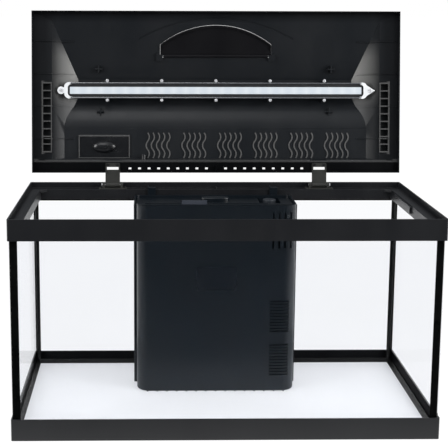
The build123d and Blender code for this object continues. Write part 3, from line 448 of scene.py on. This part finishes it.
FINISH = {
    "hinge_leaf_screws_finished": "dark_steel", "hinge_base_screws_finished": "dark_steel",
    "bottom_frame_finished": "base_plastic", "switch_cover_finished": "cover_plastic",
    "bottom_glass_finished": "floor_glass",
    "lamp_power_inlet_finished": "lamp_plastic",
}
EDGE_MM = {
    "hinge_leaf_screws": 0.0, "hinge_base_screws": 0.0,
    "front_glass": 0.5, "rear_glass": 0.5, "left_glass": 0.5, "right_glass": 0.5, "bottom_glass": 0.5,
    "bottom_frame": 0.7, "top_frame": 0.6, "hood_shell": 0.35, "filter_cover": 0.35,
    "filter_housing": 0.4, "filter_lid": 0.5, "feeding_door": 0.3, "switch_cover": 0.3,
    "hinge_base_left": 0.3, "hinge_base_right": 0.3, "hinge_leaf_left": 0.3, "hinge_leaf_right": 0.3,
    "filter_hook_left": 0.5, "filter_hook_right": 0.5, "cartridge_frame": 0.4, "lamp_housing": 0.2,
    "lamp_bezel": 0.25, "lamp_bracket_left": 0.35, "lamp_bracket_right": 0.35, "lamp_lens": 0.15,
    "led_board": 0.15, "led_chips": 0.2, "filter_label_plate": 0.12, "pump_body": 0.6,
    "pump_cap": 0.4, "impeller": 0.25, "outlet_pipe": 0.3, "flow_dial": 0.2,
    "pump_cord_gland": 0.2, "lamp_gasket": 0.15, "silicone_corner_seams": 0.3,
    "silicone_floor_seam": 0.3, "switch_body": 0.3, "lamp_power_inlet": 0.2,
}

for name, obj in NODES.items():
    obj.data.materials.clear()
    obj.data.materials.append(MATERIALS[SLOT_OF[name]])
for name, width in EDGE_MM.items():
    finished(name, width)


# ---------------------------------------------------------------- soft and organic pieces


def soft_box(name, node, steps, shape):
    """A closed soft block the size of a CAD node: a fine box whose points shape(p, t) moves."""
    low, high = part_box(node)
    bm = bmesh.new()
    found = {}

    def point(t):
        key = tuple(round(c, 6) for c in t)
        if key not in found:
            at = Vector(low[k] + (high[k] - low[k]) * t[k] for k in range(3))
            found[key] = bm.verts.new(shape(at, Vector(t)))
        return found[key]

    for axis in range(3):
        u, v = (axis + 1) % 3, (axis + 2) % 3
        for end in (0.0, 1.0):
            for i in range(steps[u]):
                for j in range(steps[v]):
                    ring = []
                    for du, dv in ((0, 0), (1, 0), (1, 1), (0, 1)):
                        t = [0.0, 0.0, 0.0]
                        t[axis] = end
                        t[u] = (i + du) / steps[u]
                        t[v] = (j + dv) / steps[v]
                        ring.append(point(t))
                    face = bm.faces.new(ring if end else ring[::-1])
                    face.smooth = True
    mesh = bpy.data.meshes.new(name)
    bm.to_mesh(mesh)
    bm.free()
    obj = placed(name, mesh, BODY_OF[node], SLOT_OF[node], node)
    return obj


def wadding(bars):
    """Fibre filling: pulled in at its edges and where the grid's bars cross it, bumpy between."""
    width, height, taper, pull = 0.142, 0.272, 0.012, 0.0056

    def shape(p, t):
        edge = min(min(t.x, 1 - t.x) * width, min(t.z, 1 - t.z) * height)
        rim = min(1.0, math.sqrt(edge / taper + 0.02))
        tuck = min([1.0] + [0.45 + abs(p.z - z) / taper for z in bars])
        lump = 0.86 + 0.14 * noise.noise(p * 60.0) + 0.05 * noise.noise(p * 240.0)
        squeeze = 1.0 - min(1.0, max(0.3, rim * min(1.0, tuck) * lump))
        p.y += (0.5 - t.y) * pull * squeeze
        return p

    return shape


def cut_foam(p, t):
    """Foam cut from a sheet: slightly waisted faces, rounded edges and a torn, porous skin."""
    waist, tear, inset = 0.0012, 0.0006, 0.0004
    for k in range(3):
        away = 1.0 - 2.0 * t[k]
        others = [4.0 * t[m] * (1.0 - t[m]) for m in range(3) if m != k]
        p[k] += away * waist * others[0] * others[1] * (abs(away) > 0.99)
    p += tear * noise.noise_vector(p * 160.0) + inset * Vector([1 - 2 * c for c in t])
    return p


def lathe_y(name, profile, centres, node, turns=56):
    """Closed pieces turned about lines along Y, from (radius, y) pairs in millimetres."""
    bm = bmesh.new()
    for cx, cz in centres:
        rings = []
        for r, y in profile:
            if r == 0:
                rings.append([bm.verts.new((cx, y * MM, cz))])
                continue
            rings.append([bm.verts.new((cx + r * MM * math.cos(a), y * MM, cz + r * MM * math.sin(a)))
                          for a in (2 * math.pi * i / turns for i in range(turns))])
        for first, second in zip(rings, rings[1:]):
            for i in range(turns):
                j = (i + 1) % turns
                corners = [first[i % len(first)], second[i % len(second)],
                           second[j % len(second)], first[j % len(first)]]
                bm.faces.new(list(dict.fromkeys(corners))).smooth = True
    bmesh.ops.recalc_face_normals(bm, faces=bm.faces)
    mesh = bpy.data.meshes.new(name)
    bm.to_mesh(mesh)
    bm.free()
    return placed(name, mesh, BODY_OF[node], SLOT_OF[node], node)


GRID_BARS = (0.094, 0.162, 0.23)
for end in ("front", "rear"):
    soft_box(f"floss_pad_{end}", f"cartridge_floss_{end}", (46, 3, 90), wadding(GRID_BARS))
soft_box("foam_block", "bio_foam", (36, 18, 84), cut_foam)

cup_low, cup_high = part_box("suction_cups")
cup_y = cup_low.y / MM
cup_z = (cup_low.z + cup_high.z) / 2
cup_r = (cup_high.z - cup_low.z) / 2
CUP_PROFILE = [
    (0, 0), (4.6, 0), (4.9, 0.5), (4.9, 2.2), (3.4, 3.2), (3.2, 5.0), (3.8, 6.4), (6.4, 7.7), (9.6, 9.3),
    (12.2, 11.2), (13.9, 12.7), (13.95, 13.0), (13.3, 12.98), (10.6, 11.1), (7.0, 9.6), (3.0, 8.9),
    (0, 8.8),
]
lathe_y("suction_cup_pair", [(r, cup_y + y) for r, y in CUP_PROFILE],
        [(cup_low.x + cup_r, cup_z), (cup_high.x - cup_r, cup_z)], "suction_cups")


# ---------------------------------------------------------------- camera, light and floor


def camera():
    """A long lens in front, a little above the tank's top and slightly to the left."""
    data = bpy.data.cameras.new("camera")
    data.lens = 86.54
    data.sensor_width = 36.0
    data.shift_x = 0.116
    data.shift_y = -0.116
    obj = bpy.data.objects.new("camera", data)
    bpy.context.scene.collection.objects.link(obj)
    pitch, yaw, roll = (math.radians(a) for a in (-9.322, 1.113, 0.176))
    forward = Vector((math.sin(yaw) * math.cos(pitch), math.cos(yaw) * math.cos(pitch), math.sin(pitch)))
    right = forward.cross(Vector((0, 0, 1))).normalized()
    up = right.cross(forward)
    side = math.cos(roll) * right + math.sin(roll) * up
    top = math.cos(roll) * up - math.sin(roll) * right
    turn = Matrix((side, top, -forward)).transposed().to_4x4()
    obj.matrix_world = Matrix.Translation((-0.1071, -1.6162, 0.6311)) @ turn
    bpy.context.scene.camera = obj


def softbox(name, place, aim, size, power):
    """A rectangular area light at place, turned towards aim."""
    data = bpy.data.lights.new(name, "AREA")
    data.shape = "RECTANGLE"
    data.size, data.size_y = size
    data.energy = power
    obj = bpy.data.objects.new(name, data)
    bpy.context.scene.collection.objects.link(obj)
    obj.location = place
    obj.rotation_euler = (Vector(aim) - Vector(place)).to_track_quat("-Z", "Y").to_euler()


def surroundings():
    """The world: white seen directly, an even white for soft light, a dim room in reflections.

    In reflections seen through glass there is a white backdrop behind the tank.
    """
    world = bpy.data.worlds.new("studio")
    bpy.context.scene.world = world
    world.use_nodes = True
    tree = world.node_tree
    nodes, links = tree.nodes, tree.links
    nodes.clear()

    def background(color, strength):
        made = nodes.new("ShaderNodeBackground")
        made.inputs["Color"].default_value = (*color, 1)
        made.inputs["Strength"].default_value = strength
        return made

    seen = background((1, 1, 1), 1.0)
    soft = background((0.95, 0.98, 1.0), 0.85)
    room = background((1, 1, 1), 1.0)
    path = nodes.new("ShaderNodeLightPath")
    way = nodes.new("ShaderNodeSeparateXYZ")
    links.new(nodes.new("ShaderNodeTexCoord").outputs["Generated"], way.inputs[0])
    ramp = nodes.new("ShaderNodeValToRGB")
    ramp.color_ramp.elements[0].position = 0.15
    ramp.color_ramp.elements[0].color = (0.055, 0.06, 0.068, 1)
    ramp.color_ramp.elements[1].position = 1.0
    ramp.color_ramp.elements[1].color = (0.6, 0.62, 0.65, 1)
    links.new(way.outputs["Z"], ramp.inputs[0])
    behind = nodes.new("ShaderNodeMapRange")
    behind.inputs["From Min"].default_value = 0.0
    behind.inputs["From Max"].default_value = 0.35
    links.new(way.outputs["Y"], behind.inputs["Value"])
    in_glass = nodes.new("ShaderNodeMath")
    in_glass.operation = "MULTIPLY"
    in_glass.use_clamp = True
    links.new(behind.outputs["Result"], in_glass.inputs[0])
    links.new(path.outputs["Transmission Depth"], in_glass.inputs[1])
    backdrop = nodes.new("ShaderNodeMix")
    backdrop.data_type = "RGBA"
    links.new(in_glass.outputs[0], backdrop.inputs[0])
    links.new(ramp.outputs[0], backdrop.inputs[6])
    backdrop.inputs[7].default_value = (1, 1, 1, 1)
    links.new(backdrop.outputs[2], room.inputs["Color"])
    mirrored = nodes.new("ShaderNodeMixShader")
    links.new(path.outputs["Glossy Depth"], mirrored.inputs[0])
    links.new(seen.outputs[0], mirrored.inputs[1])
    links.new(room.outputs[0], mirrored.inputs[2])
    mix = nodes.new("ShaderNodeMixShader")
    links.new(path.outputs["Diffuse Depth"], mix.inputs[0])
    links.new(mirrored.outputs[0], mix.inputs[1])
    links.new(soft.outputs[0], mix.inputs[2])
    links.new(mix.outputs[0], nodes.new("ShaderNodeOutputWorld").inputs[0])


def floor():
    """A pale floor like a light table, so that shadows stay weak; its front is dim in reflections."""
    mesh = bpy.data.meshes.new("floor")
    bm = bmesh.new()
    bmesh.ops.create_grid(bm, x_segments=8, y_segments=8, size=30.0)
    bm.to_mesh(mesh)
    bm.free()
    obj = bpy.data.objects.new("floor", mesh)
    bpy.context.scene.collection.objects.link(obj)
    obj.location = (0, 0, -0.0004)
    s = Shader("floor_paper", (0.1, 0.1, 0.1), 0.9, Specular_IOR_Level=0.0, Emission_Strength=0.94)
    s.link(s.mix(s.noise(3.0), (0.09, 0.09, 0.09), (0.11, 0.11, 0.11)), "Base Color")
    s.set("Emission Color", (1, 1, 1, 1))
    dim = s.node("ShaderNodeEmission", {"Color": (0.08, 0.084, 0.09, 1), "Strength": 1.0})
    path = s.node("ShaderNodeLightPath")
    in_front = s.ramp(s.axes()["Y"], 1.0, 0.0, -0.35, -0.1)
    mirrored = s.times(s.math("MINIMUM", path.outputs["Glossy Depth"], 1.0), in_front)
    mix = s.node("ShaderNodeMixShader", {0: mirrored, 1: s.bsdf.outputs[0], 2: dim.outputs[0]})
    s.tree.links.new(mix.outputs[0], s.tree.nodes["Material Output"].inputs["Surface"])
    mesh.materials.append(s.mat)


camera()
surroundings()
floor()
softbox("high_softbox", (-0.5, -1.3, 1.9), (-0.1, 0.1, 0.4), (1.3, 0.8), 7)
softbox("left_softbox", (-1.7, -0.9, 0.9), (0, 0, 0.4), (0.7, 1.3), 22)
softbox("right_softbox", (1.5, -0.8, 0.8), (0, 0, 0.4), (0.7, 1.3), 26)

view = bpy.context.scene.view_settings
view.view_transform = "Standard"
view.look = "None"
